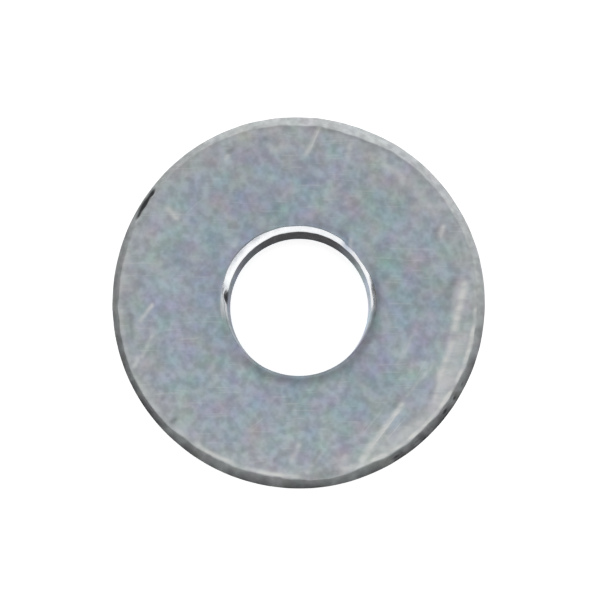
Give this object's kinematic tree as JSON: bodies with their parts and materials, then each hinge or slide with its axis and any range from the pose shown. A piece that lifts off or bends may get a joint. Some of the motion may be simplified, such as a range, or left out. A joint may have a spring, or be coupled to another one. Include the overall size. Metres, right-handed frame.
{
  "type": "flat washer",
  "caption": "Round flat washer stamped from steel plate and zinc plated, with a central clearance bore and die-rolled upper edges.",
  "frame": {"origin": "where the bore's axis meets the underside, the seating face", "axes": "+Z along the bore's axis, from the underside to the die-rolled upper face"},
  "size_m": [0.0444, 0.0444, 0.0034],
  "materials": {
    "zinc_plate": "dull bluish zinc electroplate over stamped steel, tumbled, with fine rubs and scratches"
  },
  "bodies": {
    "root": {"flat_washer": "zinc_plate"}
  },
  "joints": []
}
